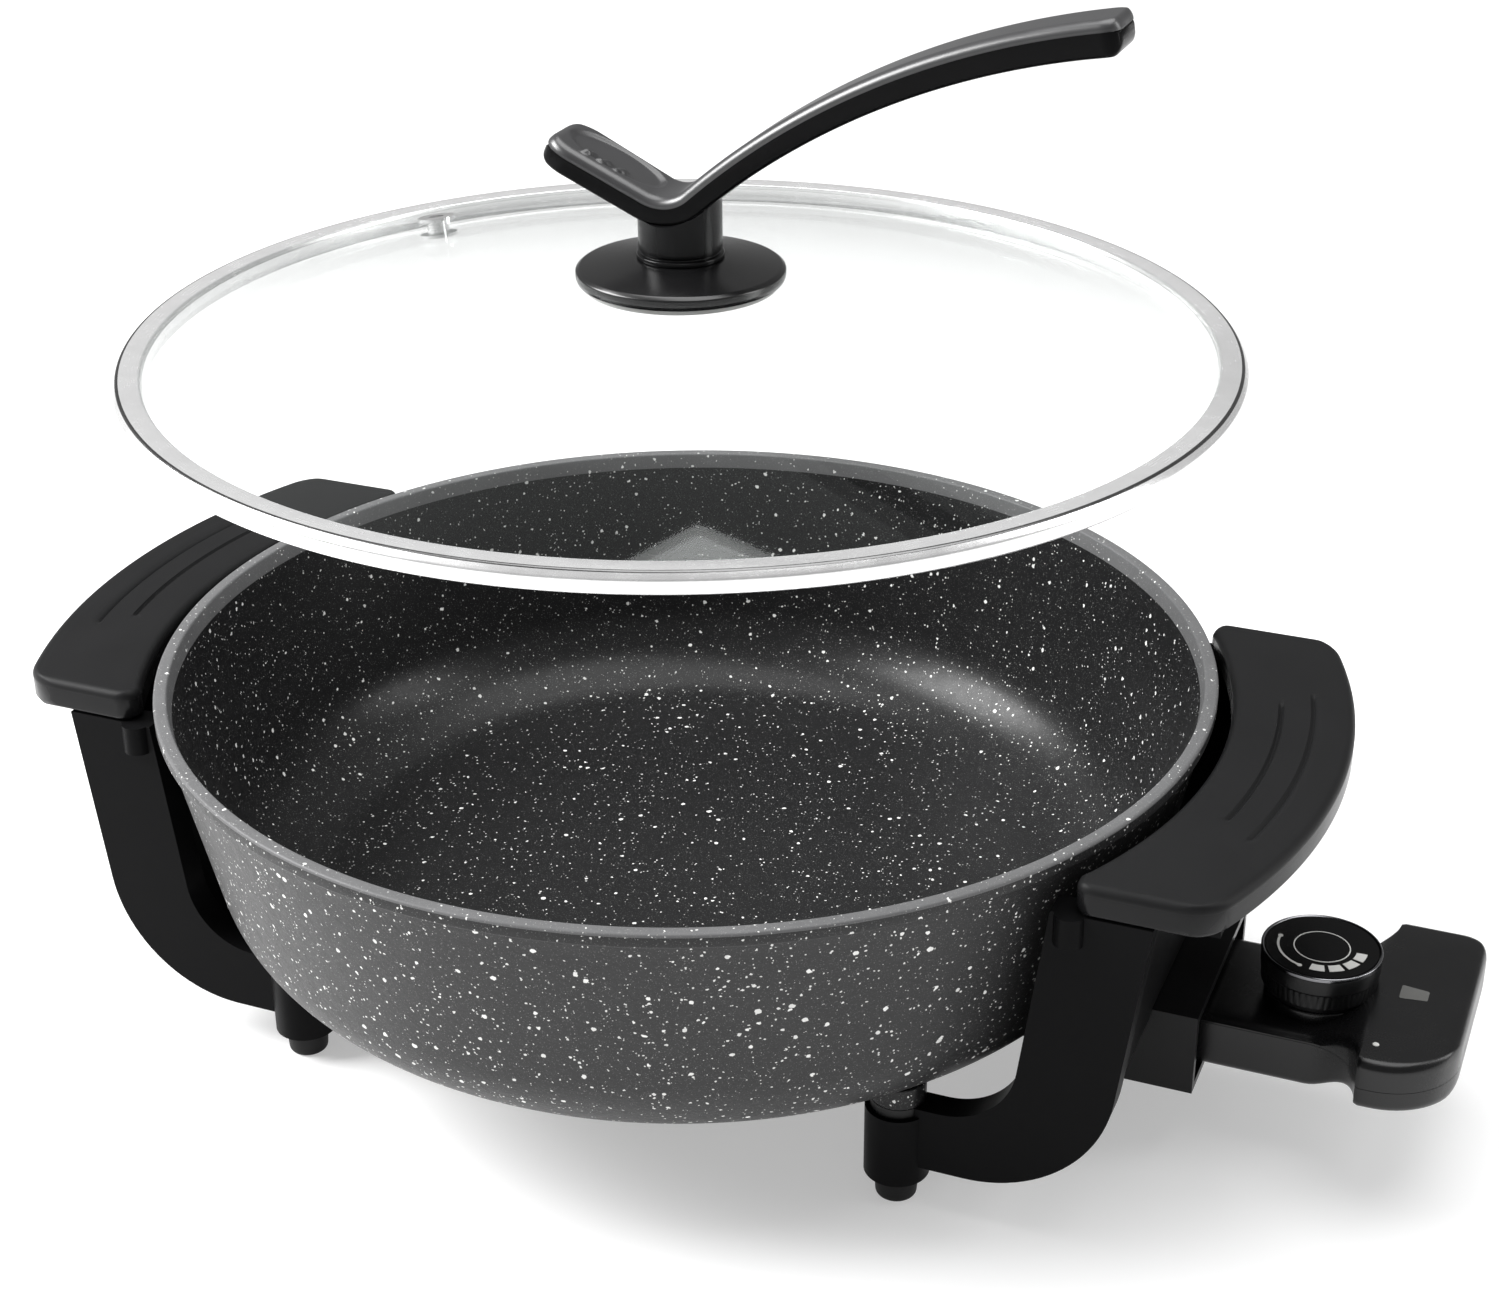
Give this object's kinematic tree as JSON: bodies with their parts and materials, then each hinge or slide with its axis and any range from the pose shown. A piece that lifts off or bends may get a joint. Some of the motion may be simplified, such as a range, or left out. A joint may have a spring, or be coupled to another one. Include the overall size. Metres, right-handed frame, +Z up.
{
  "type": "electric skillet",
  "caption": "Round deep electric skillet with a domed glass lid, V-shaped lid handle, two side grips on leg frames and a plug-in thermostat probe.",
  "frame": {"origin": "on the table, under the middle of the whole appliance's bounding box", "axes": "+Z up; +X from the pan towards the thermostat probe, along the longest side; -Y is the front. The pan's and the lid's axis is at x = -0.021 m"},
  "size_m": [0.443, 0.322, 0.3236],
  "materials": {
    "stone_coating": "textured, speckled non-stick coat over cast aluminium",
    "element_sheath": "dull, heat-stained tube",
    "plated_metal": "bright plated pins",
    "ceramic_bead": "matt white",
    "socket_plastic": "satin black, heat-proof",
    "screw_steel": "zinc plated",
    "spacer_steel": "darkened steel",
    "grip_plastic": "satin black with fine grain",
    "leg_plastic": "satin black",
    "foot_rubber": "matt black",
    "clear_glass": "clear, tempered",
    "rim_steel": "rolled band, softly polished",
    "vent_steel": "small polished eyelet",
    "gasket_silicone": "translucent grey",
    "flange_plastic": "black, semi-gloss",
    "stem_plastic": "black, semi-gloss",
    "handle_plastic": "black, glossy",
    "cap_plastic": "black, satin",
    "probe_plastic": "black, satin",
    "sensor_steel": "stainless tube",
    "contact_brass": "plain",
    "bimetal": "rolled strip",
    "carrier_ceramic": "matt",
    "lens_plastic": "clear to milky",
    "lamp_glass": "amber",
    "gland_rubber": "matt black",
    "knob_plastic": "black, ribbed skirt",
    "ring_metal": "thin bright ring",
    "face_plastic": "black with pale marks",
    "spindle_steel": "turned"
  },
  "bodies": {
    "skillet": {"pan": "stone_coating", "heating_element": "element_sheath", "terminal_pins": "plated_metal", "terminal_insulators": "ceramic_bead", "socket_housing": "socket_plastic", "socket_screws": "screw_steel", "left_grip": "grip_plastic", "right_grip": "grip_plastic", "left_leg_frame": "leg_plastic", "right_leg_frame": "leg_plastic", "grip_screws": "screw_steel", "leg_screws": "screw_steel", "leg_spacers": "spacer_steel", "foot_front_left": "foot_rubber", "foot_front_right": "foot_rubber", "foot_rear_left": "foot_rubber", "foot_rear_right": "foot_rubber"},
    "lid": {"lid_glass": "clear_glass", "lid_rim": "rim_steel", "vent_grommet": "vent_steel", "flange_gasket": "gasket_silicone", "handle_flange": "flange_plastic", "handle_stem": "stem_plastic", "handle_body": "handle_plastic", "handle_cap": "cap_plastic", "lid_washer": "screw_steel", "lid_screw": "screw_steel"},
    "probe": {"probe_lower_shell": "probe_plastic", "probe_upper_shell": "probe_plastic", "sensor_rod": "sensor_steel", "pin_sockets": "contact_brass", "contact_carrier": "carrier_ceramic", "bimetal_blade": "bimetal", "fixed_contact": "contact_brass", "moving_contact": "contact_brass", "indicator_lens": "lens_plastic", "indicator_lamp": "lamp_glass", "shell_screws": "screw_steel", "cord_gland": "gland_rubber"},
    "dial": {"dial_knob": "knob_plastic", "dial_ring": "ring_metal", "dial_face": "face_plastic", "dial_spindle": "spindle_steel"}
  },
  "joints": [
    {"name": "lid_lift", "type": "slide", "parent": "skillet", "child": "lid", "axis": [0, 0, 1], "range_m": [-0.0935, 0.06]},
    {"name": "probe_pull", "type": "slide", "parent": "skillet", "child": "probe", "axis": [1, 0, 0], "range_m": [0, 0.06]},
    {"name": "knob_turn", "type": "hinge", "parent": "probe", "child": "dial", "pos_m": [0.17751, 0, 0.0468], "axis": [0, 0, 1], "range_deg": [0, 270]}
  ]
}
